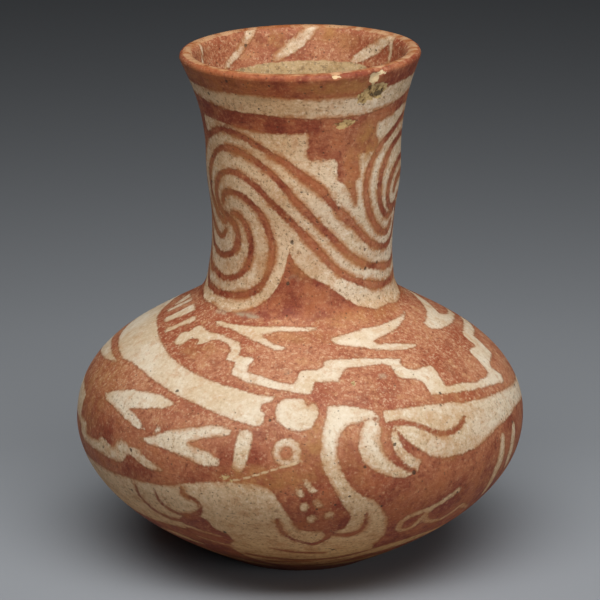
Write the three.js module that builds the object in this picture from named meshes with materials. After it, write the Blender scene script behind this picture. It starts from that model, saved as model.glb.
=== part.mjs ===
// A hand-built earthenware bottle: a squat round body on a small flat base, a tall neck that bows
// a little to one side, and a thick flared lip with old chips. It is one hollow piece of fired clay.
// Units are millimetres. +Z is up, the origin is the middle of the base, and -Y is the painted front.

import * as THREE from "three";
import { mergeVertices } from "three/addons/utils/BufferGeometryUtils.js";

// Driving sizes of the body
const BASE_RADIUS = 36.7;
const BELLY_RADIUS = 104.5;
const BELLY_HEIGHT = 66;
const BODY_HEIGHT = 126; // where the lines of the shoulder and the neck would meet
const UNDERSIDE_LIFT_DEG = 26.8; // the slope at which the underside leaves the base
const SHOULDER_SLOPE_DEG = 31.5; // the slope at which the shoulder runs up to the neck

// Driving sizes of the neck
const NECK_HEIGHT = 114;
const NECK_FOOT_RADIUS = 44;
const NECK_FOOT_FILLET = 8; // along the shoulder and along the neck
const NECK_WAIST_RADIUS = 41.8;
const NECK_WAIST_RISE = 24; // above the neck's foot
const NECK_SWELL_RADIUS = 45;
const NECK_SWELL_RISE = 66; // above the neck's foot, where the flare begins
const LIP_RADIUS = 55.3;
const LIP_THICKNESS = 7.5;

// Walls
const WALL = 5.8;
const BASE_WALL = 8;

// What the hands left: the neck bows towards +X, and the mouth dips towards -X
const NECK_BOW = 1.6;
const MOUTH_DIP = 1.0;

// Old damage of the lip and the neck. Azimuth 0 is the front, and grows towards +X.
const CHIPS = [
  { azimuthDeg: 20, drop: 0.5, spread: 4.5, depth: 1.2 }, // nick in the crest of the lip
  { azimuthDeg: 44, drop: 1.5, spread: 6, depth: 1.6 }, // broken edge of the lip
  { azimuthDeg: 45, drop: 11, spread: 8, depth: 1.5 }, // flaked hollow under the lip
];

// Fineness of the mesh
const SEGMENTS = 60;
const LONG_CURVE_STEPS = 12;
const NECK_CURVE_STEPS = 7;
const SHORT_CURVE_STEPS = 3;
const INNER_STRIDE = 2; // the plain inside has one point for every two outside
const MERGE_TOLERANCE = 1e-3;

const HEIGHT = BODY_HEIGHT + NECK_HEIGHT;

const radians = THREE.MathUtils.degToRad;

// A point of the profile: the distance from the axis, and the height.
const at = (radius, height) => new THREE.Vector2(radius, height);

// A cubic curve that leaves the first point by one handle and reaches the last by another.
const sweep = (start, leave, reach, end) =>
  new THREE.CubicBezierCurve(start, start.clone().add(leave), end.clone().sub(reach), end);

// From the edge of the flat base out to the belly.
function undersideCurve() {
  const start = at(BASE_RADIUS, 0);
  const end = at(BELLY_RADIUS, BELLY_HEIGHT);
  const run = 0.4 * (BELLY_RADIUS - BASE_RADIUS);
  const lift = radians(UNDERSIDE_LIFT_DEG);
  return sweep(
    start,
    at(run * Math.cos(lift), run * Math.sin(lift)),
    at(0, BELLY_HEIGHT / 2),
    end,
  );
}

// From the belly up and in to where the shoulder begins to turn into the neck.
function shoulderCurve() {
  const rise = BODY_HEIGHT - BELLY_HEIGHT;
  const slope = radians(SHOULDER_SLOPE_DEG);
  const run = 0.4 * (BELLY_RADIUS - NECK_FOOT_RADIUS);
  const end = at(
    NECK_FOOT_RADIUS + NECK_FOOT_FILLET * Math.cos(slope),
    BODY_HEIGHT - NECK_FOOT_FILLET * Math.sin(slope),
  );
  return sweep(
    at(BELLY_RADIUS, BELLY_HEIGHT),
    at(0, 0.53 * rise),
    at(-run * Math.cos(slope), run * Math.sin(slope)),
    end,
  );
}

// The soft hollow where the neck rises out of the shoulder.
function neckFootCurve(start) {
  const drawnIn = 0.4 * (NECK_FOOT_RADIUS - NECK_WAIST_RADIUS);
  const end = at(NECK_FOOT_RADIUS - drawnIn, BODY_HEIGHT + NECK_FOOT_FILLET);
  return new THREE.QuadraticBezierCurve(start, at(NECK_FOOT_RADIUS, BODY_HEIGHT), end);
}

// Up to the waist, out to the swell, and out again to the flared lip.
function neckCurves(start) {
  const waist = at(NECK_WAIST_RADIUS, BODY_HEIGHT + NECK_WAIST_RISE);
  const swell = at(NECK_SWELL_RADIUS, BODY_HEIGHT + NECK_SWELL_RISE);
  const lip = at(LIP_RADIUS, HEIGHT - LIP_THICKNESS / 3);
  const toWaist = 0.4 * (waist.y - start.y);
  const toSwell = swell.y - waist.y;
  const toLip = lip.y - swell.y;
  const flare = 0.2 * (LIP_RADIUS - NECK_SWELL_RADIUS);
  return [
    sweep(start, at((waist.x - start.x) / 2, toWaist), at(0, toWaist), waist),
    sweep(waist, at(0, 0.52 * toSwell), at(0, 0.43 * toSwell), swell),
    sweep(swell, at(0, 0.52 * toLip), at(flare, 0.13 * toLip), lip),
  ];
}

// Over the thick round lip, from the outer wall to the inner wall.
function lipCurve(outerEdge, innerEdge) {
  const crest = at((outerEdge.x + innerEdge.x) / 2 + LIP_THICKNESS / 12, HEIGHT);
  return [
    new THREE.QuadraticBezierCurve(outerEdge, at(outerEdge.x, HEIGHT), crest),
    new THREE.QuadraticBezierCurve(crest, at(innerEdge.x + 1, HEIGHT), innerEdge),
  ];
}

// Samples curves that follow each other, without doubling the points where they meet.
function trace(curves, steps) {
  return curves.flatMap((curve, i) => curve.getPoints(steps[i]).slice(i === 0 ? 0 : 1));
}

// The inner wall: the outer wall's points moved inwards by the wall's thickness.
function insideOf(outer) {
  const inner = [];
  for (let i = INNER_STRIDE; i < outer.length - 1; i += INNER_STRIDE) {
    const along = outer[i + 1].clone().sub(outer[i - 1]).normalize();
    const point = at(outer[i].x - along.y * WALL, outer[i].y + along.x * WALL);
    if (point.y > BASE_WALL + WALL / 2) inner.push(point);
  }
  return inner;
}

// The whole section, from the middle of the base's underside round to the middle of its upper face.
function section() {
  const shoulder = shoulderCurve();
  const foot = neckFootCurve(shoulder.v3);
  const neck = neckCurves(foot.v2);
  const outer = trace(
    [undersideCurve(), shoulder, foot, ...neck],
    [
      LONG_CURVE_STEPS,
      LONG_CURVE_STEPS,
      SHORT_CURVE_STEPS,
      SHORT_CURVE_STEPS,
      NECK_CURVE_STEPS,
      NECK_CURVE_STEPS,
    ],
  );
  const lipOuter = outer[outer.length - 1];
  const lipInner = at(lipOuter.x - LIP_THICKNESS, lipOuter.y - LIP_THICKNESS / 6);
  const lip = trace(lipCurve(lipOuter, lipInner), [SHORT_CURVE_STEPS, SHORT_CURVE_STEPS]).slice(1);
  const inner = insideOf(outer).filter((point) => point.y < lipInner.y - LIP_THICKNESS / 2);
  const floorEdge = at(inner[0].x - (inner[0].y - BASE_WALL) * 1.6, BASE_WALL);
  return [at(0, 0), ...outer, ...lip, ...inner.reverse(), floorEdge, at(0, BASE_WALL)];
}

// 0 at and below the low height, 1 at and above the high one, and smooth between.
const rampUp = (height, low, high) => THREE.MathUtils.smoothstep(height, low, high);

// Bows the neck sideways and dips the mouth.
function leanByHand(point) {
  const rise = THREE.MathUtils.clamp((point.z - BODY_HEIGHT) / NECK_HEIGHT, 0, 1);
  const share = rampUp(point.z, BODY_HEIGHT + NECK_SWELL_RISE, HEIGHT);
  point.z += (MOUTH_DIP * share * point.x) / LIP_RADIUS;
  point.x += NECK_BOW * Math.sin(Math.PI * rise);
}

// Presses the old chips into the lip and the neck, and leaves the inner wall whole.
function chip(point) {
  const radius = Math.hypot(point.x, point.y);
  const outside = rampUp(radius, LIP_RADIUS - 1.6 * LIP_THICKNESS, LIP_RADIUS - LIP_THICKNESS);
  for (const { azimuthDeg, drop, spread, depth } of CHIPS) {
    const azimuth = radians(azimuthDeg);
    const heart = new THREE.Vector3(
      LIP_RADIUS * Math.sin(azimuth),
      -LIP_RADIUS * Math.cos(azimuth),
      HEIGHT - drop,
    );
    const away = heart.distanceTo(point) / spread;
    const pressed = depth * outside * Math.max(0, 1 - away * away);
    point.x -= (pressed * point.x) / radius;
    point.y -= (pressed * point.y) / radius;
    if (drop < LIP_THICKNESS / 2) point.z -= pressed / 2;
  }
}

// Turns the section round the axis, stands it upright and works the clay by hand.
function bottleGeometry() {
  const lathe = new THREE.LatheGeometry(section(), SEGMENTS);
  lathe.rotateX(Math.PI / 2);
  lathe.deleteAttribute("normal");
  lathe.deleteAttribute("uv");
  const geometry = mergeVertices(lathe, MERGE_TOLERANCE);
  const position = geometry.getAttribute("position");
  const point = new THREE.Vector3();
  for (let i = 0; i < position.count; i++) {
    point.fromBufferAttribute(position, i);
    if (point.z > BODY_HEIGHT) {
      chip(point);
      leanByHand(point);
    }
    position.setXYZ(i, point.x, point.y, point.z);
  }
  geometry.computeVertexNormals();
  return geometry;
}

const redSlip = new THREE.MeshStandardMaterial({
  name: "red_and_cream_slip",
  color: new THREE.Color("#b4694b"),
  roughness: 0.78,
  metalness: 0,
});

const bottle = new THREE.Mesh(bottleGeometry(), redSlip);
bottle.name = "bottle";

const object = new THREE.Group();
object.name = "ceramic_bottle";
object.add(bottle);

export default object;
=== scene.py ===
"""A hand-built earthenware bottle, painted in red and cream slips, dressed for its picture.

The bottle is one piece. Its section is turned round the axis by Geometry Nodes, then dented, chipped and
flaked in mesh code. The painting is laid over the wall as shapes in two measures: the azimuth in degrees
(0 at the painted front, growing to the right) and the arc, which is the way along the section in
millimetres from the edge of the base, over the lip and down inside. What a point of the wall needs to
know is kept in attributes: how far it is from the edge of the cream slip, how worn and stained it is,
and how much painted shade darkens it.
"""

import math
from functools import reduce

import bpy
import numpy as np
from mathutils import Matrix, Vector


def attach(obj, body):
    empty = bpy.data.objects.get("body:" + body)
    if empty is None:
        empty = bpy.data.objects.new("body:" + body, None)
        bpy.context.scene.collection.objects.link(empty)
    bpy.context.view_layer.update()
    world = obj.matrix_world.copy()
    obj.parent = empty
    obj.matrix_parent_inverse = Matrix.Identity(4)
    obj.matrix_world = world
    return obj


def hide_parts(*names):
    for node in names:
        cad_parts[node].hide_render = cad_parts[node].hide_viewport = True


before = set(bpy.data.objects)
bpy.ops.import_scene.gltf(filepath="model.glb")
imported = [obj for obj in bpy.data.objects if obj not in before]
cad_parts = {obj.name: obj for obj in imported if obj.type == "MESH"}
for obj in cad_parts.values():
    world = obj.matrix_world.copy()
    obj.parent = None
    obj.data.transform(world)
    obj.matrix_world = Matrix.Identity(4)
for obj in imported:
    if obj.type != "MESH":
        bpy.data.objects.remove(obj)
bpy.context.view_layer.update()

MM = 0.001

# Sizes of the vessel, in millimetres
BASE_RADIUS = 36.7
BELLY_RADIUS = 104.5
BELLY_HEIGHT = 66.0
BODY_HEIGHT = 126.0
UNDERSIDE_LIFT_DEG = 26.8
SHOULDER_SLOPE_DEG = 31.5
NECK_HEIGHT = 114.0
NECK_FOOT_RADIUS = 44.0
NECK_FOOT_FILLET = 8.0
NECK_WAIST_RADIUS = 41.8
NECK_WAIST_RISE = 24.0
NECK_SWELL_RADIUS = 45.0
NECK_SWELL_RISE = 66.0
LIP_RADIUS = 55.3
LIP_THICKNESS = 7.5
WALL = 5.8
BASE_WALL = 8.0
NECK_BOW = 1.6
MOUTH_DIP = 1.0
HEIGHT = BODY_HEIGHT + NECK_HEIGHT

# How closely the wall is divided
COLUMNS = 332
OUTER_SPACING = 1.3  # mm between rings on the painted wall
INNER_SPACING = 2.4  # mm between rings inside the mouth
HIDDEN_SPACING = 9.0  # mm between rings that nothing shows
MOUTH_DEPTH = 60.0  # mm below the crest that can be seen from above
FRONT_CLOSENESS_DEG = 18.0  # draws the columns together at the painted front
SEAM = 0.02  # mm within which points become one

UNEVENNESS = 0.45  # mm that the hands left the wall in or out
LUMPS_PER_METRE = 26.0
PAINT_REACH = 4.0  # mm from a painted edge that is still measured
CREST_ARC = 306.0  # mm along the wall to the crest of the lip
BARE_DEPTH = 34.0  # mm below the crest, inside, where the bare clay has a finish of its own
TINY = 1e-9


def line_through(start, leave, reach, end, spacing):
    """Points of a cubic curve that leaves the start by one handle and reaches the end by another."""
    start, end = np.array(start, float), np.array(end, float)
    a, b = start + leave, end - np.array(reach, float)
    steps = max(2, round(np.linalg.norm(end - start) * 1.04 / spacing))
    t = np.linspace(0, 1, steps + 1)[:, None]
    return (1 - t) ** 3 * start + 3 * (1 - t) ** 2 * t * a + 3 * (1 - t) * t * t * b + t ** 3 * end


def bend(start, corner, end, steps):
    """Points of a soft bend round a corner."""
    start, corner, end = (np.array(p, float) for p in (start, corner, end))
    t = np.linspace(0, 1, steps + 1)[:, None]
    return (1 - t) ** 2 * start + 2 * (1 - t) * t * corner + t * t * end


def outer_wall(spacing):
    """The outside from the edge of the base up to the lip, as (radius, height) rows."""
    lift, slope = math.radians(UNDERSIDE_LIFT_DEG), math.radians(SHOULDER_SLOPE_DEG)
    belly = (BELLY_RADIUS, BELLY_HEIGHT)
    run = 0.4 * (BELLY_RADIUS - BASE_RADIUS)
    leave = (run * math.cos(lift), run * math.sin(lift))
    underside = line_through((BASE_RADIUS, 0), leave, (0, BELLY_HEIGHT / 2), belly, spacing)
    run = 0.4 * (BELLY_RADIUS - NECK_FOOT_RADIUS)
    foot = (NECK_FOOT_RADIUS + NECK_FOOT_FILLET * math.cos(slope),
            BODY_HEIGHT - NECK_FOOT_FILLET * math.sin(slope))
    shoulder = line_through(belly, (0, 0.53 * (BODY_HEIGHT - BELLY_HEIGHT)),
                            (-run * math.cos(slope), run * math.sin(slope)), foot, spacing)
    drawn_in = 0.4 * (NECK_FOOT_RADIUS - NECK_WAIST_RADIUS)
    rise = (NECK_FOOT_RADIUS - drawn_in, BODY_HEIGHT + NECK_FOOT_FILLET)
    shaded_hollow = bend(foot, (NECK_FOOT_RADIUS, BODY_HEIGHT), rise, round(13 / spacing))
    waist = (NECK_WAIST_RADIUS, BODY_HEIGHT + NECK_WAIST_RISE)
    swell = (NECK_SWELL_RADIUS, BODY_HEIGHT + NECK_SWELL_RISE)
    lip = (LIP_RADIUS, HEIGHT - LIP_THICKNESS / 3)
    to_waist = 0.4 * (waist[1] - rise[1])
    to_swell, to_lip = swell[1] - waist[1], lip[1] - swell[1]
    flare = (0.2 * (LIP_RADIUS - NECK_SWELL_RADIUS), 0.13 * to_lip)
    neck = [line_through(rise, ((waist[0] - rise[0]) / 2, to_waist), (0, to_waist), waist, spacing),
            line_through(waist, (0, 0.52 * to_swell), (0, 0.43 * to_swell), swell, spacing),
            line_through(swell, (0, 0.52 * to_lip), flare, lip, spacing)]
    return np.vstack([underside] + [part[1:] for part in (shoulder, shaded_hollow, *neck)])


def lip_round(outer_edge):
    """Over the thick round lip, from the outer wall to the inner wall."""
    inner_edge = outer_edge - (LIP_THICKNESS, LIP_THICKNESS / 6)
    crest = np.array([(outer_edge[0] + inner_edge[0]) / 2 + LIP_THICKNESS / 12, HEIGHT])
    over = bend(outer_edge, (outer_edge[0], HEIGHT), crest, 5)
    down = bend(crest, (inner_edge[0] + 1, HEIGHT), inner_edge, 5)
    return np.vstack([over[1:], down[1:]])


def inner_wall(spacing, low, high):
    """The inside from high to low: the outside moved inwards by the wall's thickness."""
    outer = outer_wall(spacing)
    along = np.gradient(outer, axis=0)
    along /= np.linalg.norm(along, axis=1)[:, None]
    inner = outer + WALL * np.stack([-along[:, 1], along[:, 0]], 1)
    kept = inner[(inner[:, 1] > low) & (inner[:, 1] < high)]
    return kept[::-1]


def section():
    """The whole section, from the middle of the base round the wall to the middle of the floor inside."""
    outer = outer_wall(OUTER_SPACING)
    lip = lip_round(outer[-1])
    deep = HEIGHT - MOUTH_DEPTH
    mouth = inner_wall(INNER_SPACING, deep, lip[-1, 1] - LIP_THICKNESS / 2)
    hidden = inner_wall(HIDDEN_SPACING, BASE_WALL + WALL / 2, deep - HIDDEN_SPACING / 2)
    low = hidden[-1]
    floor_edge = (low[0] - (low[1] - BASE_WALL) * 1.6, BASE_WALL)
    base = [(BASE_RADIUS * share, 0) for share in (0, 0.35, 0.7, 0.93)]
    floor = [floor_edge, (floor_edge[0] / 2, BASE_WALL), (0, BASE_WALL)]
    return np.vstack([base, outer, lip, mouth, hidden, floor])


def srgb(code):
    """A linear colour from a hex code."""
    parts = [int(code[i:i + 2], 16) / 255 for i in (1, 3, 5)]
    return (*[c / 12.92 if c <= 0.04045 else ((c + 0.055) / 1.055) ** 2.4 for c in parts], 1.0)


def name_sockets(tree, way, rows):
    """Gives a group its inputs or outputs: each has a name, a kind, and a value where it needs one."""
    for name, kind, *value in rows:
        socket = tree.interface.new_socket(name, in_out=way, socket_type="NodeSocket" + kind)
        if value:
            socket.default_value = value[0]


class Nodes:
    """A node tree, with short ways to put nodes into it. Where is the place that its noises read."""

    def __init__(self, tree, where=None):
        self.tree, self.where = tree, where

    def plug(self, socket, value):
        """Gives a socket its value, or joins it to another node's output. A hex code is a colour."""
        if isinstance(value, bpy.types.NodeSocket):
            self.tree.links.new(value, socket)
        elif isinstance(value, str) and value.startswith("#"):
            socket.default_value = srgb(value)
        else:
            socket.default_value = value

    def place(self, kind, inputs=None, **settings):
        """A node with its settings and its inputs."""
        node = self.tree.nodes.new(kind)
        for name, value in settings.items():
            setattr(node, name, value)
        for name, value in (inputs or {}).items():
            self.plug(node.inputs[name], value)
        return node

    def reckon(self, operation, *terms, clamp=False):
        """One step of arithmetic on numbers."""
        inputs = dict(enumerate(terms))
        return self.place("ShaderNodeMath", inputs, operation=operation, use_clamp=clamp).outputs[0]

    def times(self, *terms):
        return reduce(lambda a, b: self.reckon("MULTIPLY", a, b), terms)

    def plus(self, *terms):
        return reduce(lambda a, b: self.reckon("ADD", a, b), terms)

    def less(self, first, second):
        return self.reckon("SUBTRACT", first, second)

    def over(self, first, second, clamp=False):
        return self.reckon("DIVIDE", first, second, clamp=clamp)

    def shift(self, operation, first, second):
        """One step of arithmetic on places."""
        other = "Scale" if operation == "SCALE" else 1
        return self.place("ShaderNodeVectorMath", {0: first, other: second}, operation=operation).outputs[0]

    def fade(self, value, low, high, to_low=0.0, to_high=1.0):
        """A smooth change from one value to another as a number grows from low to high."""
        inputs = {0: value, 1: low, 2: high, 3: to_low, 4: to_high}
        return self.place("ShaderNodeMapRange", inputs, interpolation_type="SMOOTHSTEP").outputs[0]

    def wandering(self, value, cloud, width):
        """A value that a cloud of noise moves up and down, by the width in all."""
        return self.plus(value, self.times(self.less(cloud, 0.5), width))

    def blend(self, amount, first, second, mode="MIX"):
        """Mixes two colours by an amount."""
        inputs = {0: amount, 6: first, 7: second}
        return self.place("ShaderNodeMix", inputs, data_type="RGBA", blend_type=mode).outputs[2]

    def noise(self, scale, detail, roughness, where=None):
        inputs = {"Vector": where or self.where, "Scale": scale, "Detail": detail, "Roughness": roughness}
        return self.place("ShaderNodeTexNoise", inputs).outputs[0]

    def streaks(self, across, upward, detail, roughness):
        """Noise that is drawn out across and squeezed upward."""
        drawn = self.place("ShaderNodeMapping", {"Vector": self.where, "Scale": (across, across, upward)})
        return self.noise(1.0, detail, roughness, drawn.outputs[0])


def turning_tree():
    """Turns a section round the axis, bows the neck, dips the mouth and leaves the wall a little uneven."""
    tree = bpy.data.node_groups.new("turned_and_worked_by_hand", "GeometryNodeTree")
    name_sockets(tree, "INPUT", (
        ("Section", "Geometry"), ("Columns", "Int", COLUMNS),
        ("Front Closeness", "Float", math.radians(FRONT_CLOSENESS_DEG)),
        ("Body Height", "Float", BODY_HEIGHT * MM), ("Neck Height", "Float", NECK_HEIGHT * MM),
        ("Flare Height", "Float", (BODY_HEIGHT + NECK_SWELL_RISE) * MM),
        ("Lip Radius", "Float", LIP_RADIUS * MM), ("Neck Bow", "Float", NECK_BOW * MM),
        ("Mouth Dip", "Float", MOUTH_DIP * MM), ("Unevenness", "Float", UNEVENNESS * MM),
        ("Seed", "Float", 7.0), ("Finish", "Material")))
    name_sockets(tree, "OUTPUT", (("Vessel", "Geometry"),))
    n = Nodes(tree)
    given = tree.nodes.new("NodeGroupInput").outputs

    size = n.place("GeometryNodeAttributeDomainSize", {0: given["Section"]}, component="CURVE")
    rows = size.outputs["Point Count"]
    sheet = n.place("GeometryNodeMeshGrid", {"Vertices X": n.plus(given["Columns"], 1.0), "Vertices Y": rows})
    index = n.place("GeometryNodeInputIndex").outputs[0]
    column = n.reckon("FLOOR", n.over(n.plus(index, 0.5), rows))
    row = n.less(index, n.times(column, rows))

    def along_section(kind, value):
        inputs = {"Geometry": given["Section"], "Value": value, "Index": row}
        return n.place("GeometryNodeSampleIndex", inputs, data_type=kind, domain="POINT").outputs[0]

    point = along_section("FLOAT_VECTOR", n.place("GeometryNodeInputPosition").outputs[0])
    run = along_section("FLOAT", n.place("GeometryNodeSplineParameter").outputs["Length"])
    split = n.place("ShaderNodeSeparateXYZ", {0: point})
    radius, height = split.outputs["X"], split.outputs["Z"]

    turn = n.times(n.less(n.over(column, given["Columns"]), 0.5), 2 * math.pi)
    azimuth = n.less(turn, n.times(given["Front Closeness"], n.reckon("SINE", turn)))
    sideways = n.reckon("SINE", azimuth)
    backwards = n.times(n.reckon("COSINE", azimuth), -1.0)
    x, y = n.times(radius, sideways), n.times(radius, backwards)

    above = n.over(n.less(height, given["Body Height"]), given["Neck Height"], clamp=True)
    arch = n.reckon("SINE", n.times(above, math.pi))
    crest = n.plus(given["Body Height"], given["Neck Height"])
    tilt = n.over(n.times(given["Mouth Dip"], x), given["Lip Radius"])
    z = n.plus(height, n.times(tilt, n.fade(height, given["Flare Height"], crest)))
    bowed = n.plus(x, n.times(given["Neck Bow"], arch))
    turned = n.place("ShaderNodeCombineXYZ", {0: bowed, 1: y, 2: z}).outputs[0]

    inputs = {"Vector": turned, "W": given["Seed"], "Scale": LUMPS_PER_METRE, "Detail": 2.0}
    swell = n.place("ShaderNodeTexNoise", inputs, noise_dimensions="4D").outputs[0]
    press = n.times(n.less(swell, 0.5), n.times(given["Unevenness"], 2.0))
    off_base, off_axis = n.fade(height, 1 * MM, 12 * MM), n.fade(radius, 2 * MM, 20 * MM)
    outward = n.place("ShaderNodeCombineXYZ", {0: sideways, 1: backwards}).outputs[0]
    worked = n.shift("SCALE", outward, n.times(press, n.times(off_base, off_axis)))

    wall = sheet.outputs["Mesh"]
    for kind, inputs, settings in (
            ("SetPosition", {"Position": turned, "Offset": worked}, {}),
            ("StoreNamedAttribute", {"Name": "arc", "Value": run}, {"data_type": "FLOAT", "domain": "POINT"}),
            ("MergeByDistance", {"Distance": SEAM * MM}, {}),
            ("SetShadeSmooth", {}, {}),
            ("RealizeInstances", {}, {}),
            ("SetMaterial", {"Material": given["Finish"]}, {})):
        wall = n.place("GeometryNode" + kind, {"Geometry": wall, **inputs}, **settings).outputs[0]
    n.place("NodeGroupOutput", {"Vessel": wall})
    return tree


def turned_bottle(finish):
    """The whole vessel as one plain closed mesh."""
    rows = section()
    line = bpy.data.curves.new("bottle_section", "CURVE")
    line.dimensions = "3D"
    spline = line.splines.new("POLY")
    spline.points.add(len(rows) - 1)
    for point, (radius, height) in zip(spline.points, rows):
        point.co = (radius * MM, 0, height * MM, 1)
    drawn = bpy.data.objects.new("bottle_section", line)
    bpy.context.scene.collection.objects.link(drawn)
    tree = turning_tree()
    turning = drawn.modifiers.new("turned", "NODES")
    turning.node_group = tree
    for item in tree.interface.items_tree:
        if item.in_out == "INPUT" and item.name == "Finish":
            turning[item.identifier] = finish
    evaluated = drawn.evaluated_get(bpy.context.evaluated_depsgraph_get())
    mesh = bpy.data.meshes.new_from_object(evaluated)
    bpy.data.objects.remove(drawn)
    mesh.name = "bottle_wall"
    bottle = bpy.data.objects.new("painted_bottle", mesh)
    bpy.context.scene.collection.objects.link(bottle)
    return bottle


def smooth_through(points, closed=False, steps=6):
    """A smooth line through a few points."""
    p = np.array(points, float)
    if closed:
        q = np.vstack([p[-1], p, p[0], p[1]])
    else:
        q = np.vstack([2 * p[0] - p[1], p, 2 * p[-1] - p[-2]])
    t = np.linspace(0, 1, steps, endpoint=False)[:, None]
    parts = []
    for a, b, c, d in zip(q[:-3], q[1:-2], q[2:-1], q[3:]):
        parts.append(0.5 * (2 * b + (c - a) * t + (2 * a - 5 * b + 4 * c - d) * t * t
                            + (3 * b - a - 3 * c + d) * t ** 3))
    line = np.vstack(parts)
    return line if closed else np.vstack([line, p[-1]])


def ramp(value, low, high):
    """0 at and below the low number, 1 at and above the high one, and smooth between."""
    t = np.clip((value - low) / (high - low), 0, 1)
    return t * t * (3 - 2 * t)


def round_half(degrees):
    """The same direction, as -180 to 180 degrees."""
    return (degrees + 180) % 360 - 180


def turned_by(degrees, points):
    return [(at + degrees, *rest) for at, *rest in points]


def beside(a, b, azimuth, arc, scale):
    """How far points of the wall are from the straight line from a to b, where on it (0 to 1) they are
    nearest, and whether the line passes on their right."""
    ax, ay, bx, by = (a[0] - azimuth) * scale, a[1] - arc, (b[0] - azimuth) * scale, b[1] - arc
    dx, dy = bx - ax, by - ay
    share = np.clip(-(ax * dx + ay * dy) / np.maximum(dx * dx + dy * dy, TINY), 0, 1)
    passes = ((ay > 0) != (by > 0)) & (ax - ay * dx / np.where(dy == 0, TINY, dy) > 0)
    return np.hypot(ax + share * dx, ay + share * dy), share, passes


class Wall:
    """The wall as points to paint, with how far each is inside (above 0) or outside the cream slip."""

    def __init__(self, azimuth, arc, mm_per_degree):
        self.azimuth, self.arc, self.scale = azimuth, arc, mm_per_degree
        self.cream = np.full(azimuth.size, -PAINT_REACH)

    def near(self, shape, margin):
        low, high = shape[:, :2].min(0), shape[:, :2].max(0)
        middle = (low[0] + high[0]) / 2
        turned = round_half(self.azimuth - middle)
        level_with = np.abs(turned) * self.scale < (high[0] - low[0]) / 2 * self.scale + margin
        within = (self.arc > low[1] - margin) & (self.arc < high[1] + margin)
        chosen = np.nonzero(level_with & within)[0]
        return chosen, middle + turned[chosen], self.arc[chosen], self.scale[chosen]

    def lay(self, chosen, inside, red):
        inside = np.clip(inside, -PAINT_REACH, PAINT_REACH)
        before = self.cream[chosen]
        self.cream[chosen] = np.minimum(before, -inside) if red else np.maximum(before, inside)

    def along(self, points, width, reach):
        """How far points of the wall are inside a line with round ends. A third number is the width there."""
        pts = np.array([[*p, *[width] * (3 - len(p))] for p in points], float)
        line = smooth_through(pts) if len(pts) > 2 else pts
        chosen, *places = self.near(line, line[:, 2].max() / 2 + reach)
        inside = np.full(chosen.size, -reach)
        for a, b in zip(line[:-1], line[1:]):
            distance, share, _ = beside(a, b, *places)
            inside = np.maximum(inside, (a[2] + (b[2] - a[2]) * share) / 2 - distance)
        return chosen, inside

    def stroke(self, points, width, red=False):
        self.lay(*self.along(points, width, PAINT_REACH), red)

    def patch(self, points, red=False, soft=False):
        """A closed patch of slip."""
        pts = smooth_through(points, closed=True, steps=4) if soft else np.array(points, float)
        chosen, *places = self.near(pts, PAINT_REACH)
        within = np.zeros(chosen.size, bool)
        nearest = np.full(chosen.size, PAINT_REACH)
        for a, b in zip(pts, np.roll(pts, -1, 0)):
            distance, _, passes = beside(a, b, *places)
            nearest = np.minimum(nearest, distance)
            within ^= passes
        self.lay(chosen, np.where(within, nearest, -nearest), red)

    def disc(self, azimuth, arc, radius, red=False):
        chosen, at, level, scale = self.near(np.array([(azimuth, arc)]), radius + PAINT_REACH)
        self.lay(chosen, radius - np.hypot((azimuth - at) * scale, arc - level), red)

    def band(self, lower, upper):
        """A cream band all round, between two uneven lines."""
        inside = np.minimum(self.arc - self.all_round(lower), self.all_round(upper) - self.arc)
        self.lay(np.arange(self.arc.size), inside, False)

    def all_round(self, points):
        """A number that changes with the azimuth."""
        return np.interp(self.azimuth, *np.array(sorted(points), float).T, period=360)

    def upward(self, points):
        """A number that changes with the arc."""
        return np.interp(self.arc, *np.array(points, float).T)

    def spread(self, blots, core=0.45, rim=1.15):
        """Where soft blots lie: azimuth, arc, half width and half height in mm, and strength."""
        total = np.zeros(self.arc.size)
        for azimuth, arc, wide, tall, strength in blots:
            turned = round_half(self.azimuth - azimuth) * self.scale
            away = np.hypot(turned / wide, (self.arc - arc) / tall)
            total = np.maximum(total, strength * (1 - ramp(away, core, rim)))
        return total


# The scroll frieze of the neck. Each red stripe leaves one coil over its top, runs down to the right,
# passes under the next coil and turns up into it. A third number is the stripe's width there.
OVER_OUTER = (
    (-56, 223, 2.2), (-60, 219.5), (-66, 219.5), (-72, 222), (-80, 228), (-86, 237), (-88, 246), (-84, 256),
    (-76, 263), (-65, 267.8), (-55, 271.5), (-48, 272.2), (-38, 271), (-28, 267.5), (-18, 263.2), (-9, 259),
    (0, 253.2, 3.9), (10, 247, 3.8), (17, 240.3), (25, 233.7, 4.2), (34, 227.3), (43, 220.8), (53, 216, 3))
OVER_MIDDLE = (
    (-57, 226.7, 2.6), (-63, 228.5), (-69, 233), (-72.5, 241), (-72, 248), (-67, 255), (-60, 260.3),
    (-52, 263), (-45, 263.6), (-38, 262.7), (-30, 260), (-20, 255, 2.6), (-12, 249), (-5, 242.3),
    (0, 238, 3.4), (8, 231.5), (17, 224.5), (26, 217.7), (35, 212.3), (44, 208.5), (54, 206.2))
OVER_INNER = (
    (-55, 230.5, 3), (-60, 232), (-63.5, 236.5), (-63.5, 242), (-60, 247.3), (-53, 251.3, 2.6), (-45, 252.6),
    (-37, 251), (-28, 247), (-20, 241.2), (-12, 235.3, 3.2), (-4, 229), (4, 222.7, 3.4), (13, 215.2),
    (22, 208.2), (31, 203.6), (41, 200.3), (51, 197.8, 3.8), (60, 196.5))
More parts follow.
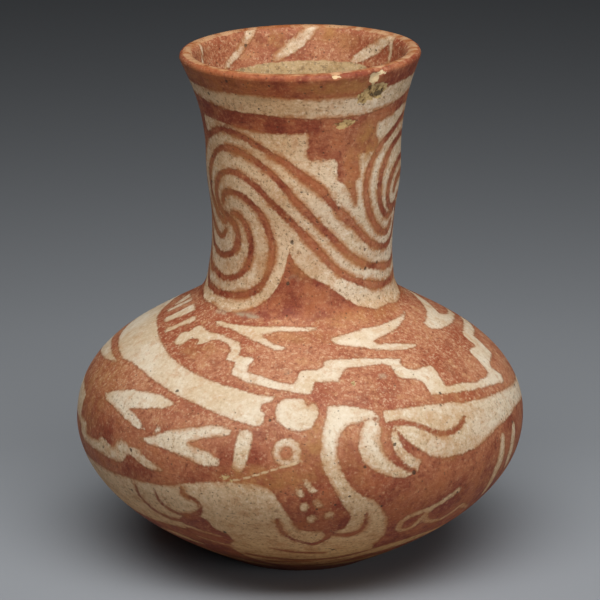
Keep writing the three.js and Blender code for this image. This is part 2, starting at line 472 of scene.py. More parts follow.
UNDER_OUTER = (
    (-78, 195.3), (-66, 193.3, 3), (-55, 193), (-45, 193.8), (-36, 195.3), (-29, 198, 3.6), (-24, 202.5),
    (-21, 208), (-19.3, 215), (-20, 222), (-23, 229.3, 3.2), (-28, 235.8), (-35, 240.3), (-42, 242.6, 2.6),
    (-49, 242.6), (-54.5, 240.3), (-57, 236.5, 2))
UNDER_MIDDLE = (
    (-78, 203.6), (-68, 202, 2.8), (-58, 200.5), (-50, 201, 2.6), (-43, 203.5), (-37, 208, 3), (-34, 214.5),
    (-34.3, 221), (-37, 227), (-41, 230.9, 2.2), (-45, 232.4), (-50, 231.8, 2))
UNDER_INNER = (
    (-79.5, 217.5), (-73, 212.6, 2.8), (-64, 210.6), (-56, 211), (-49, 213.6), (-45, 218, 4), (-44.6, 223),
    (-47.5, 227.3, 3.4), (-53, 229.3))
STRIPES = ((OVER_OUTER, UNDER_INNER), (OVER_MIDDLE, UNDER_MIDDLE), (OVER_INNER, UNDER_OUTER))
STRIPE_WIDTH = 2.9
COIL_HEART = (-54.5, 229.8, 2.6)
# For each coil: its turn round the neck, the way to the next, how far the next one's stripes are lifted,
# how far its own curl is lifted, where the two parts of a stripe join, and how far each stripe opens out.
COILS = (
    (0, 126, 3.5, 0, 60, -64, (0, 0, 0)),
    (126, 117, 0, 1.5, 45, -66, (-1.2, 2.6, 1.6)),
    (243, 117, 0, 0, 30, -80, (0, 0, 0)))

FRIEZE_FOOT = (
    (-60, 187), (-50, 185.3), (-38, 186.3), (-30, 189), (-24, 192), (-20, 195), (-16, 199), (-13, 203),
    (-11, 208), (-9.5, 213), (-8.3, 217), (-5, 212), (0, 208.5), (4, 205.8), (13, 203), (20, 199), (27, 195),
    (36, 190), (48, 186.5))
STEPPED_PENDANT = (
    (3, 284), (3.3, 268), (2, 264.5), (4, 261.6), (18.5, 261.4), (20, 259), (20.3, 251.5), (25.5, 248),
    (32.7, 238.5), (31.2, 250.3), (34, 252), (33.5, 262.3), (44, 262.5), (48.5, 266), (45.3, 270),
    (44.7, 284))
FRIEZE_TOP = (
    (-180, 277), (-90, 277.5), (-70, 276.5), (-50, 275.7), (-30, 274.5), (-20, 273.7), (0, 274), (40, 276),
    (50, 276.6), (60, 278), (72, 280), (90, 280.3), (130, 278), (179, 277))
UPPER_BAND = (
    ((-180, 285), (-90, 286), (-70, 286), (-60, 285), (-48, 283.3), (-20, 283), (-5, 281.8), (20, 281),
     (35, 281.2), (50, 282.5), (60, 284), (72, 285.5), (90, 286), (179, 285)),
    ((-180, 292.5), (-70, 292.5), (-40, 293), (-22, 293.4), (0, 292), (30, 291.8), (45, 293), (60, 294),
     (90, 294), (179, 292.5)))


def paint_neck(wall):
    """Three scrolls and three stepped pendants on cream, under a cream band."""
    foot = [(round_half(turn + at), level) for turn in (-120, 0, 120) for at, level in FRIEZE_FOOT]
    wall.band(foot, FRIEZE_TOP)
    for turn, way, lift, rise, join_over, join_under, opened in COILS:
        for (over, under), out in zip(STRIPES, opened):
            points = [(turn + at - out * min(1, max(0, (-30 - at) / 25)),
                       level + rise * min(1, max(0, (20 - at) / 60)), *wide)
                      for at, level, *wide in over if at <= join_over]
            points += [(turn + way + at, level + lift, *wide)
                       for at, level, *wide in under if at >= join_under]
            wall.stroke(points, STRIPE_WIDTH, red=True)
        at, level, radius = COIL_HEART
        wall.disc(turn + at, level + rise, radius, red=True)
        wall.patch(turned_by(turn, STEPPED_PENDANT), red=True)
    wall.band(*UPPER_BAND)


SHORT_BARS = (
    ((-88.3, 181.6), (-86, 182.2), (-83.5, 181.4), (-85.6, 172), (-87, 168.6), (-90.2, 168.6)),
    ((-76.5, 181.8), (-71, 181), (-68.5, 180), (-74, 170), (-75.3, 166), (-78, 165.6), (-80.5, 167.5),
     (-78, 180)),
    ((-64.5, 177), (-61, 177.3), (-59.3, 175.8), (-61, 172), (-63.5, 169.5), (-65, 165), (-66.5, 162.3),
     (-68.5, 163), (-69.5, 165), (-67.5, 168)))
LEFT_WEDGE = ((-101, 179.5), (-90.8, 181.2), (-90.6, 172), (-94, 172.3))
STEPPED_RIBBON = (
    (-58.5, 166.5), (-57, 168), (-55.2, 168.5), (-55, 173.5), (-52.5, 174.5), (-46.5, 172.6), (-37, 172.6),
    (-26.5, 169.8), (-24.5, 166), (-23.8, 161.7), (-19, 161.7), (-17.2, 160.5), (-18.5, 156),
    (-18.3, 152.5), (-13, 150.8), (-5, 147.3), (-1.7, 146.8), (-1, 151), (0.5, 155.2), (6, 155.2), (8, 157),
    (9.3, 160.7), (13, 161), (24, 160.2), (38.5, 156), (37.3, 151.5), (38.3, 149.3), (40, 148.3),
    (48, 147.8), (48.5, 146), (47.5, 138), (47.5, 135), (53, 134.5), (60, 131.6), (67, 130.6), (69.8, 132),
    (71, 143), (72.5, 145.6), (79, 144.2), (80.3, 151), (83, 152.6), (92, 152), (100, 150), (108, 149),
    (108, 143.5), (98, 144.5), (87, 146.5), (83.5, 135.2), (76, 134.5), (73.8, 132.5), (76.5, 126),
    (74.5, 123.3), (67, 126), (40.5, 133), (40.3, 140), (38.5, 143), (34, 144.7), (32.7, 146.5),
    (32.5, 153), (30.5, 155), (17, 155), (15, 153.5), (12.5, 147.7), (4.7, 147.7), (3.8, 142.3), (2.5, 141),
    (-4, 142.5), (-18, 147), (-23.5, 150), (-24.3, 157.3), (-28, 158), (-28.7, 164.5), (-31, 167.3),
    (-36, 169), (-40, 168), (-43, 164), (-45, 163.3), (-46, 166), (-50, 166), (-51.7, 159.7), (-56, 159.6),
    (-57.5, 163))
LEFT_FORK = (
    (-47, 179), (-44.5, 180.2), (-38, 180), (-8, 182.3), (5, 182), (9, 181.2), (8, 180), (-5, 178.8),
    (-10, 179), (-18.5, 176), (-12, 171.5), (-6.5, 169.5), (-5.5, 168.2), (-7.5, 167.3), (-10.5, 167),
    (-16, 170), (-32, 176), (-36, 176.9), (-45, 177.5))
RIGHT_FORK = (
    (13.7, 173.5), (15, 174.8), (33, 178), (40, 177.6), (48, 177.8), (56, 178.7), (62, 178.8), (67.5, 179.7),
    (65, 177.8), (55, 175), (50, 173), (35, 170), (33, 168.8), (34.5, 167.2), (43, 164.8), (50.5, 161.7),
    (50.3, 160), (42, 160.5), (33, 163), (26, 166.5), (17, 169.7), (14.8, 171))
FAR_FORK = (
    (67.3, 166), (68.5, 169.3), (84, 172), (100, 176.6), (110, 178.5), (116, 178), (108, 173), (90, 165),
    (95, 160.6), (110, 155.5), (112, 153.5), (104, 153.3), (97, 155.8), (74, 161.6), (69.5, 163.6))


def paint_shoulder(wall):
    """Short bars, forked tongues and a stepped ribbon, and fewer of them at the back."""
    for shape in (*SHORT_BARS, LEFT_WEDGE, STEPPED_RIBBON, LEFT_FORK, RIGHT_FORK, FAR_FORK):
        wall.patch(shape)
    wall.patch(turned_by(178, LEFT_FORK))
    for bar in SHORT_BARS[1:]:
        wall.patch(turned_by(293, bar))


BROAD_BAND = (
    (-206, 152), (-204, 156), (-196, 160), (-180, 162.5), (-140, 165.5), (-120, 167.5), (-105, 167.8),
    (-88, 163.6), (-75, 161.6), (-60, 156.5), (-50, 152.2), (-30, 145), (-20, 142.6), (-13, 140.3),
    (-7, 139.7), (-8, 137.5), (-11, 135.3), (-10.8, 132), (-9.8, 131), (-9.6, 126), (-12, 124),
    (-30, 131.4), (-50, 138.3), (-60, 140.8), (-66, 141), (-71, 139.7), (-78, 141), (-90, 142),
    (-97, 143.2), (-120, 145.5), (-160, 147), (-196, 147.5), (-204, 149))
BLOB = (
    (-6.3, 135.8), (-4.5, 138.5), (-1, 139), (1.2, 138), (2.4, 135), (3.5, 136.6), (4.8, 135), (5, 130),
    (4.2, 127.5), (3, 124.3), (0.5, 122.8), (-2.5, 123.2), (-5.3, 126), (-6.7, 130))
CROOK = (
    (8, 134.6), (9.5, 135.1), (13, 134.5), (20.6, 130.7), (22, 127), (21.3, 125.8), (20.5, 127.3),
    (13, 124.6), (11, 121.8), (9.8, 118), (9.3, 111.5), (10.2, 104), (13, 96), (16, 91.5), (19, 89),
    (21.5, 83.5), (24, 76), (25.7, 62), (25, 52), (8, 52), (12, 72), (13.3, 80.5), (11, 87), (6, 104),
    (5.1, 112), (5.6, 121), (7.4, 131.5))
PETAL = (
    (17.2, 125.8), (19.5, 127), (21.2, 125), (21.6, 121.5), (20.9, 117.5), (21.2, 112), (22.3, 108),
    (24.5, 104.3), (28.8, 99.3), (27, 98), (23.5, 99.2), (20.5, 101.2), (17.5, 104.7), (15.7, 108),
    (14.8, 113), (15.2, 118.5), (16, 122.5))
THIN_HOOK = (
    (24.3, 121), (26, 119.5), (25.8, 116), (26.7, 112), (28.3, 108.5), (31.6, 105), (30.2, 99.8),
    (27.2, 104), (25.2, 108), (24, 112), (23.6, 116))
CURLING_BAND = (
    (22.8, 125.5), (23.5, 129.8), (30, 129.8), (38, 129), (46, 127), (50, 125.2), (70, 121.4), (96, 115.5),
    (112, 113), (128, 113.5), (142, 117.5), (150, 121), (146, 113), (134, 106), (118, 102.5), (104, 103),
    (96, 105), (85, 108.5), (75, 110.5), (60, 108), (50, 103.6), (45, 103), (39, 103.7), (34.5, 105.5),
    (30, 111.5), (28, 115), (26.3, 119), (23.5, 123))
CURL_LINE = (
    (22.4, 119, 2.2), (22.8, 121.8, 1.9), (24.6, 123.3), (27.5, 123.3), (31, 121.5, 2), (34, 118.7, 2.4),
    (37, 115.8, 2.6), (40.5, 114.3), (44, 114.9), (46.6, 117), (48.2, 119, 1.2))
UPRIGHT_BAR = (
    (-15.8, 122.5), (-14, 123), (-12.3, 121), (-12.3, 116), (-13.3, 107), (-14, 103.8), (-15.5, 103),
    (-17, 105), (-16.2, 120.5))
LOWER_TONGUE = (
    (-45, 110.3), (-40, 113.2), (-36, 117), (-30, 120.3), (-24, 122.8), (-20.5, 123.3), (-18, 121.5),
    (-18.3, 119.2), (-23, 117.6), (-29.2, 113.8), (-28, 112.5), (-23, 111), (-20.5, 108), (-20.3, 105),
    (-24, 104), (-35, 108.4), (-41, 109))
UPPER_TONGUE = (
    (-65.3, 122.5), (-61, 126.5), (-55, 130), (-47, 132), (-42, 132.3), (-36.5, 129.7), (-40, 126),
    (-46, 124), (-51.3, 121.5), (-47, 118.7), (-43.2, 114.7), (-46, 114), (-58, 119), (-64, 120.5))
LEFT_SPUR = (
    (-112, 131), (-104, 135.5), (-95, 137), (-88, 137.6), (-76, 137.7), (-72.3, 136.8), (-82, 133),
    (-98, 128.5), (-108, 127.5))
LOW_RIBBON = (
    (-104, 113), (-98, 117.5), (-88, 117), (-80, 116), (-77.3, 115), (-77, 105.5), (-70.7, 105),
    (-70.3, 100), (-66, 100.2), (-62.5, 101.3), (-61, 103.3), (-58.7, 103.8), (-57, 102.3), (-54.5, 102),
    (-52.3, 106.7), (-49.8, 107), (-47.5, 105.3), (-44.3, 106), (-43.3, 103.5), (-35.9, 99.3),
    (-36.7, 97.3), (-41, 97.6), (-44.7, 99.3), (-46.3, 101.2), (-48.5, 101), (-50.2, 97), (-52, 95.4),
    (-73, 95.3), (-75.5, 97), (-76, 101), (-82, 103), (-92, 104), (-100, 107))
# Azimuth, arc and radius of the ring on the belly, its red middle, and a stray blot
RING, RING_MIDDLE, STRAY_BLOT = (-3.3, 113, 6.6), (-3.4, 113, 2.7), (-39.3, 116.2, 1.6)


def paint_belly(wall):
    """The broad band, the crook, the curling band and what lies between them."""
    wall.patch(BLOB, soft=True)
    for shape in (BROAD_BAND, CROOK, PETAL, THIN_HOOK, CURLING_BAND, UPRIGHT_BAR, LOWER_TONGUE, UPPER_TONGUE,
                  LEFT_SPUR, LOW_RIBBON):
        wall.patch(shape)
    wall.stroke(CURL_LINE, 2.3, red=True)
    wall.disc(*RING)
    wall.disc(*RING_MIDDLE, red=True)
    wall.disc(*STRAY_BLOT)
    for shape in (UPRIGHT_BAR, LOWER_TONGUE, UPPER_TONGUE):
        wall.patch(turned_by(227, shape))


LOWER_FIELD = (
    (-236, 80), (-225, 88), (-205, 93), (-180, 94), (-120, 86), (-96, 85), (-65, 88.2), (-53, 89), (-37, 91),
    (-24, 97), (-16, 98.6), (-11, 98.4), (-8, 97), (-6, 93.5), (-0.5, 73), (2, 71), (12, 72), (22, 60),
    (25, 50), (26, 44), (24, 32), (16, 22), (6, 19), (-4, 19), (-14, 22), (-22, 34), (-24, 48), (-21, 60),
    (-26, 70), (-36, 62), (-50, 60), (-64, 62), (-96, 70), (-130, 68), (-160, 64), (-190, 62), (-215, 66),
    (-230, 72))
RED_SMEAR = (
    (-36, 69), (-33, 74), (-28, 77), (-25.5, 74), (-24.5, 68), (-21, 64), (-20.5, 57), (-24, 52), (-26, 46),
    (-40, 45), (-38, 55), (-31, 62))
BASE_STREAKS = (
    ((16, 33, 4), (27, 39, 11), (40, 45, 12), (55, 50, 4)),
    ((-52, 50, 3), (-45, 49, 8), (-40, 46, 5), (-36, 44, 2)),
    ((-37, 67, 2), (-30, 63, 3), (-24, 61, 2)),
    ((-34, 56, 2), (-27, 52, 3), (-20, 50, 2)),
    ((-48, 31, 2), (-36, 24, 7), (-22, 17, 8), (-14, 15, 3)),
    ((7, 16, 3), (20, 18, 8), (36, 22, 9), (52, 28, 6), (64, 32, 2)))
RED_STREAKS = (
    ((-20, 40, 1.4), (-10, 35.5, 3), (2, 33.5, 2.4), (14, 35.5, 2.6), (24, 42, 1.6)),
    ((-14, 29, 1.6), (-4, 28.5, 2.2), (4, 29, 1)),
    ((-9, 52, 1), (-1, 47.5, 1.6), (8, 46, 1.2)))
TONGUE_SQUARES = (
    ((0.7, 101.6), (2.2, 100.3), (4.3, 95.2), (2.8, 94), (1, 98)),
    ((-1, 97.8), (0.3, 96.6), (1.1, 93), (0, 91.8), (-1.2, 94)),
    ((2.9, 90.8), (4.8, 91.8), (5.8, 87.1), (4.1, 86.2)),
    ((0, 89.5), (1.6, 90.1), (2.4, 86.6), (1.3, 84.3), (-0.1, 85.8)),
    ((5.7, 82.2), (7, 85), (8.9, 83.8), (8.4, 80.4), (6.5, 79.4)),
    ((1.6, 81.4), (3.3, 83.3), (4.5, 80.6), (3.7, 77.2), (1.8, 76.8)))
TONGUE_TIP = ((-0.5, 76), (9.5, 76), (10.5, 78), (13.2, 80), (12, 72), (9, 70), (7, 73), (0.5, 73))
FINE_LINES = (
    ((-47, 86.5, 1), (-47, 81), (-45.3, 75), (-42.5, 71), (-38.5, 69), (-34, 69.3, 2.6), (-29, 70, 3)),
    ((-40, 86.5, 1), (-39.6, 82), (-38, 77.8), (-34.5, 75.2), (-31, 75.4), (-27.6, 78.3, 2.6), (-26.3, 82),
     (-27.3, 86.3), (-30.5, 88.6), (-30.6, 92, 1.4)),
    ((-6, 80, 0.8), (-5.6, 75), (-4.4, 69), (-2, 63.5), (1.5, 60), (4, 58.6, 3), (6.5, 61.6), (8, 66, 2.4),
     (7.2, 71, 3)),
    ((8.5, 69, 2.6), (11, 66.8), (14, 66.3, 3), (16.6, 68.7), (17.6, 74), (17.4, 81, 1.2)))
LOOPED_LINE = (
    (45, 85, 3.2), (41, 81), (37, 77.6), (32.5, 76), (29.6, 73.5), (28.7, 69.5), (29.4, 65.3),
    (32, 62.8, 3.6), (34.3, 64.5), (35, 69), (36, 73.5), (37.5, 77.6, 3))
LOOP_TAIL = (
    (36.3, 74, 2.8), (37.5, 69), (41, 65.3), (45, 64.3), (48.5, 67.5), (50.5, 71.5), (53.5, 69),
    (58, 65, 1.2))
RIGHT_BARS = (
    ((62.5, 102, 5), (62.3, 92, 8), (61.6, 83, 7), (62, 73, 4)),
    ((70.5, 103, 5), (69.6, 92, 8), (69.8, 85, 5)))


def paint_lower_wall(wall):
    """The cream field under the belly, with its chequered tongue and its fine red lines."""
    wall.patch(LOWER_FIELD)
    for line in FINE_LINES:
        wall.stroke(line, 1.7, red=True)
    wall.patch(RED_SMEAR, red=True)
    for square in TONGUE_SQUARES:
        wall.patch(square)
    wall.patch(TONGUE_TIP, red=True)
    for line in (LOOPED_LINE, LOOP_TAIL):
        wall.stroke(line, 3.4)
    for line in (*RIGHT_BARS, *BASE_STREAKS):
        wall.stroke(line, 4)
    for line in RED_STREAKS:
        wall.stroke(line, 2, red=True)


# Inside the mouth: slanting cream strokes on red, each from under the lip down to where the red ends.
# Azimuth, depth below the crest, and width in mm.
MOUTH_STROKES = (
    ((206, 1, 4.4), (213, 7.8, 4.6), (219, 12, 4), (232, 17.5, 2.6)),
    ((172.5, 2.4, 5.6), (179, 8, 6.4), (186.5, 12.5, 6), (195, 16.8, 4)),
    ((122, 4, 5), (135, 11.2, 6.4), (147, 17.5, 4)),
    ((249, 2, 2.4), (253.5, 9.2, 2.8), (258, 14, 2)),
    ((119.5, 1, 2.8), (118, 9, 3.2), (117.5, 15, 2)),
    ((78, 3, 4), (86, 9, 4), (97, 16, 2.2)),
    ((28, 3, 3.6), (37, 9, 4), (48, 16.5, 2)),
    ((-22, 2.5, 4), (-12, 9, 4), (0, 17, 2.4)),
    ((-66, 3, 3.4), (-57, 9, 3.4), (-46, 16, 2)))
RED_ENDS = (
    (-180, 18.3), (-160, 19.2), (-146, 19.8), (-133, 20), (-123, 19), (-90, 21), (-50, 18), (-10, 20),
    (40, 18), (90, 21), (124, 20), (134, 21), (141, 18), (160, 18.2), (176, 18.2))


def paint_mouth(wall):
    for stroke in MOUTH_STROKES:
        wall.stroke([(at, CREST_ARC + depth, wide) for at, depth, wide in stroke], 3)


# Wear, stains and the painted shade of hollows: azimuth, arc, half width and half height in mm, strength
OCHRE_STAINS = (
    (39, 267, 8, 12, 1), (27, 247, 5, 5, 0.6), (-9, 101, 26, 7, 0.75), (2, 108, 12, 12, 0.55),
    (3, 210, 9, 8, 0.5), (-58, 207, 14, 6, 0.55), (-25, 210, 5, 16, 0.5), (40, 212, 16, 6, 0.5),
    (38, 184, 30, 5, 0.55), (0, 175, 26, 5, 0.35), (-42, 161, 14, 7, 0.35), (52, 117, 16, 6, 0.55),
    (-8, 76, 9, 4, 0.5), (-31, 90, 5, 5, 0.5), (22, 116, 5, 9, 0.4), (30, 262, 5, 12, 0.4),
    (-15, 236, 8, 14, 0.25), (-30, 262, 14, 5, 0.35), (40, 104, 6, 4, 0.6), (200, 240, 22, 18, 0.5),
    (150, 110, 30, 14, 0.5), (230, 150, 26, 10, 0.4), (100, 190, 20, 8, 0.4), (4, 116, 5, 13, 0.75),
    (194, 313.5, 5, 6, 0.8), (165, 311, 6, 4, 0.9), (152, 315, 9, 5, 0.5), (20, 297, 26, 5, 0.9),
    (-50, 297, 40, 6, 0.4), (-66, 238, 22, 34, 0.42), (-72, 122, 26, 26, 0.4), (44, 118, 26, 18, 0.4),
    (14, 108, 9, 20, 0.3), (0, 27, 60, 9, 0.5))
FLAKED = (
    (40, 292, 8.5, 5, 1), (33, 290, 4, 3.4, 1), (37.5, 299.5, 3.2, 3.4, 1), (23.5, 277.8, 6.6, 2.3, 0.9),
    (17.3, 303, 2.4, 1.8, 1), (42, 302, 3, 1.8, 0.9), (17, 146, 0.9, 2.6, 0.9), (-18, 100, 4, 3, 0.5),
    (160, 301, 4, 3, 0.8), (215, 120, 4, 2.5, 0.8))
# Hollows painted dark: painted shade in the chips and pits, with a little relief.
SHADED_HOLLOWS = (
    (42.5, 290.5, 3.6, 1.8, 1), (36, 295, 1.6, 1.2, 0.9), (-7, 221.5, 1.5, 1.4, 0.8),
    (-9.5, 271.2, 0.9, 0.8, 0.8), (20.5, 124.5, 1.7, 1.8, 0.8), (-69, 145, 1.6, 1, 0.5),
    (15.5, 277.5, 1.2, 0.7, 0.8), (26, 277.2, 1.6, 0.7, 0.7), (0, 246, 2.4, 0.7, 0.6),
    (5, 245.3, 1.6, 0.7, 0.6), (-30, 131, 1, 0.8, 0.4), (40, 106, 0.9, 1.4, 0.5), (-14, 113, 0.8, 0.8, 0.4),
    (190, 215, 1.6, 1.4, 0.8), (140, 160, 1.8, 1.2, 0.7))
PALE_FILM = (
    (-31, 186, 8, 1.6, 0.8), (-25, 291, 14, 2.2, 0.45), (-5, 204, 3, 3, 0.4), (28, 148, 3, 2, 0.4),
    (-4, 154, 2, 2, 0.4), (-48, 185, 6, 1.4, 0.5))
CRACK = ((-16.5, 99.3), (-14, 100.4), (-10, 103), (-5, 106.2), (0.5, 109.2))
# How yellow with ageing and how dark the wall is, by its arc, and the neck's ageing by its azimuth.
# Besides ageing and soil they hold painted shade: low on the body, under the lip and on the neck's left.
AGED_AND_SHADED = (
    (-5, 0.9), (20, 1), (45, 0.9), (75, 0.7), (100, 0.4), (118, 0.1), (150, 0), (182, 0.1), (190, 0.5),
    (240, 0.55), (280, 0.7), (300, 0.8), (306, 0.5), (330, 0.3))
NECK_AGED_AND_SHADED = (
    (-180, 0.7), (-70, 0.65), (-40, 0.85), (-12, 0.9), (12, 0.65), (40, 0.4), (70, 0.4), (120, 0.6))
# Darker towards the base: soil, and painted shade on the underside.
SOILED_AND_SHADED = ((-5, 1), (14, 0.95), (26, 0.65), (40, 0.5), (60, 0.27), (85, 0.1), (100, 0))

# Old damage that has depth: azimuth, arc, half width and half height in mm, depth in mm
DENTS = (
    (40, 292, 8, 5, 0.7), (42.5, 290.5, 3.6, 2.2, 0.8), (36, 295, 1.8, 1.6, 0.6),
    (37.5, 300.5, 3.4, 3.6, 1.3), (17.3, 303.5, 2.8, 2.4, 1.1), (42, 302.5, 3.4, 2.2, 0.8),
    (23.5, 277.8, 6.8, 2.4, 0.4), (-7, 221.5, 1.9, 1.8, 0.7), (20.5, 124.5, 2, 2, 0.5),
    (-69, 145, 2, 1.4, 0.4), (-9.5, 271.2, 1.4, 1.2, 0.5), (160, 302, 4, 3, 1), (215, 120, 4, 2.5, 0.5),
    (190, 215, 2, 1.8, 0.6), (140, 160, 2.2, 1.6, 0.5), (2.5, 245.7, 5, 1, 0.4))


def read_points(mesh, what):
    """A three-part value of each point of the mesh, as rows."""
    flat = np.zeros(len(mesh.vertices) * 3, np.float32)
    mesh.vertices.foreach_get(what, flat)
    return flat.reshape(-1, 3).astype(float)


def wall_of(mesh):
    """The points of the mesh as a wall to paint."""
    points = read_points(mesh, "co") / MM
    above = np.clip((points[:, 2] - BODY_HEIGHT) / NECK_HEIGHT, 0, 1)
    upright = points[:, 0] - NECK_BOW * np.sin(np.pi * above)
    azimuth = np.degrees(np.arctan2(upright, -points[:, 1]))
    radius = np.hypot(upright, points[:, 1])
    run = np.zeros(len(mesh.vertices), np.float32)
    mesh.attributes["arc"].data.foreach_get("value", run)
    return Wall(azimuth, run.astype(float) / MM - BASE_RADIUS, np.maximum(radius, 1) * np.pi / 180)


def damage(mesh, wall):
    """Presses the old chips and flaked hollows into the wall."""
    pressed = wall.spread(DENTS, 0.35, 1.1)
    points = read_points(mesh, "co") - read_points(mesh, "normal") * (pressed * MM)[:, None]
    mesh.vertices.foreach_set("co", points.astype(np.float32).ravel())
    mesh.update()


def paint(mesh, wall):
    """Lays the slips on the wall, and notes what the materials need to know of each point."""
    for part in (paint_neck, paint_shoulder, paint_belly, paint_lower_wall, paint_mouth):
        part(wall)
    depth = wall.arc - CREST_ARC
    ends = wall.all_round(RED_ENDS)
    chosen, inside = wall.along([(*point, 0) for point in CRACK], 0, PAINT_REACH)
    crack = np.full(wall.arc.size, -PAINT_REACH)
    crack[chosen] = inside
    neck = ramp(wall.arc, 183, 190) * (1 - ramp(depth, 22, 26))
    belly = 0.55 * (1 - ramp(wall.arc, 112, 134))
    # Painted shade: the neck is left lighter on its right and darker on its left, by its azimuth.
    neck_lit_side = ramp(wall.arc, 186, 200) * (1 - wall.all_round(NECK_AGED_AND_SHADED))
    notes = {
        "cream": wall.cream,
        "level": wall.arc,
        "bare": np.maximum(ramp(depth, ends - 1.2, ends + 1.2), 1 - ramp(wall.arc, -2.5, 1.5)),
        "ochre": wall.spread(OCHRE_STAINS),
        "flaked": wall.spread(FLAKED),
        "shaded_hollow": wall.spread(SHADED_HOLLOWS),
        "pale": wall.spread(PALE_FILM),
        "crack": crack,
        "specked": np.clip(neck + belly + 0.22, 0, 1),
        # Ageing, and painted shade low on the body, under the lip and on the neck's left
        "aged_and_shaded": wall.upward(AGED_AND_SHADED) * (1 - neck_lit_side),
        # Soil, and painted shade on the underside
        "soil_and_shade": wall.upward(SOILED_AND_SHADED),
    }
    for name, values in notes.items():
        attribute = mesh.attributes.new(name, "FLOAT", "POINT")
        attribute.data.foreach_set("value", np.ascontiguousarray(values, dtype=np.float32))


class Effect(Nodes):
    """A shader node group that reads a place, ready to be filled. It gives one colour, mask or height."""

    def __init__(self, name, output, *inputs):
        super().__init__(bpy.data.node_groups.new(name, "ShaderNodeTree"))
        name_sockets(self.tree, "INPUT", (("Place", "Vector"), *inputs))
        name_sockets(self.tree, "OUTPUT", (output,))
        self.given = self.tree.nodes.new("NodeGroupInput").outputs
        self.where = self.given["Place"]

    def filled(self, result):
        """The finished group."""
        self.place("NodeGroupOutput", {0: result})
        return self.tree


def fired_clay():
    """The colour of the bare clay, with its sandy grain."""
    n = Effect("fired_clay", ("Colour", "Color"), ("Soil", "Float", 0.2))
    body = n.blend(n.fade(n.noise(70, 5, 0.6), 0.35, 0.65), "#bc9c6c", "#d3b98c")
    gritty = n.blend(n.fade(n.noise(1100, 2, 0.6), 0.53, 0.68, 0, 0.5), body, "#eed8b6")
    dark = n.plus(n.noise(420, 4, 0.65), n.times(n.given["Soil"], 0.4))
    return n.filled(n.blend(n.fade(dark, 0.62, 0.78, 0, 0.6), gritty, "#6e5537"))


def small_pits():
    """Scattered round pits or specks. Share is how many of the places hold one."""
    n = Effect("small_pits", ("Mask", "Float"), ("Spacing mm", "Float", 3.0), ("Width mm", "Float", 0.8),
               ("Share", "Float", 0.5))
    spacing = n.given["Spacing mm"]
    ragged = n.place("ShaderNodeTexNoise", {"Vector": n.where, "Scale": 900, "Detail": 1})
    centred = n.shift("SUBTRACT", ragged.outputs["Color"], (0.5, 0.5, 0.5))
    moved = n.shift("ADD", n.where, n.shift("SCALE", centred, 0.9 * MM))
    cells = n.place("ShaderNodeTexVoronoi", {"Vector": moved, "Scale": n.over(1 / MM, spacing)})
    away = n.times(cells.outputs["Distance"], spacing)
    chance = n.place("ShaderNodeSeparateColor", {0: cells.outputs["Color"]}).outputs
    size = n.times(n.given["Width mm"], n.fade(chance["Green"], 0, 1, 0.25, 0.75))
    held = n.reckon("LESS_THAN", chance["Red"], n.given["Share"])
    return n.filled(n.times(n.fade(n.less(size, away), -0.12, 0.2), held))


def hand_smoothed():
    """The fine relief of clay smoothed by hand: soft wipe marks, lumps and grain."""
    n = Effect("hand_smoothed", ("Height", "Float"), ("Grain", "Float", 0.5))
    wiped, grain, lumps = n.streaks(90, 420, 3, 0.55), n.noise(800, 3, 0.6), n.noise(160, 3, 0.5)
    return n.filled(n.plus(n.times(grain, n.given["Grain"]), n.times(wiped, 0.6), n.times(lumps, 0.9)))


def brushed_slip():
    """A coat of slip put on with a brush: cloudy, streaked, thin in places, with light and dark grains."""
    n = Effect("brushed_slip", ("Colour", "Color"), ("Coat", "Color"), ("Other Coat", "Color"),
               ("Thin Coat", "Color"), ("Thinness", "Float", 0.5), ("Light Grain", "Color"),
               ("Dark Grain", "Color"), ("Light Grains", "Float", 0.4), ("Dark Grains", "Float", 0.4))
    given = n.given
    colour = n.blend(n.fade(n.noise(38, 5, 0.6), 0.38, 0.62), given["Coat"], given["Other Coat"])
    thin = n.reckon("MAXIMUM", n.fade(n.noise(170, 4, 0.65), 0.5, 0.7),
                    n.fade(n.streaks(80, 450, 3, 0.6), 0.54, 0.78))
    colour = n.blend(n.times(thin, given["Thinness"]), colour, given["Thin Coat"])
    sandy = n.noise(520, 5, 0.85)
    light = n.times(n.fade(sandy, 0.52, 0.62), given["Light Grains"])
    dark = n.times(n.fade(sandy, 0.47, 0.36), given["Dark Grains"])
    return n.filled(n.blend(dark, n.blend(light, colour, given["Light Grain"]), given["Dark Grain"]))


class Surface(Nodes):
    """A material of matt clay whose colour is built up coat by coat."""

    def __init__(self, name):
        self.material = bpy.data.materials.new(name)
        self.material.use_nodes = True
        self.material.node_tree.nodes.clear()
        super().__init__(self.material.node_tree)
        self.where = self.place("ShaderNodeTexCoord").outputs["Object"]

    def noted(self, name):
        """What the painting noted at a point of the wall."""
        return self.place("ShaderNodeAttribute", attribute_name=name).outputs["Fac"]

    def put(self, effect, inputs):
        """Places an effect with its own values."""
        return self.place("ShaderNodeGroup", {"Place": self.where, **inputs}, node_tree=effect).outputs[0]

    def cover(self, amount, coat, mode="MIX"):
        """Lays a colour over what is there, as far as the amount says."""
        self.colour = self.blend(amount, self.colour, coat, mode)

    def finish(self, rough, relief):
        """Ends the material with a roughness and a fine relief."""
        bump = self.place("ShaderNodeBump", {"Strength": 0.6, "Distance": 0.5 * MM, "Height": relief})
        inputs = {"Base Color": self.colour, "Roughness": rough, "Normal": bump.outputs[0]}
        shader = self.place("ShaderNodeBsdfPrincipled", inputs)
        self.place("ShaderNodeOutputMaterial", {"Surface": shader.outputs[0]})
        return self.material


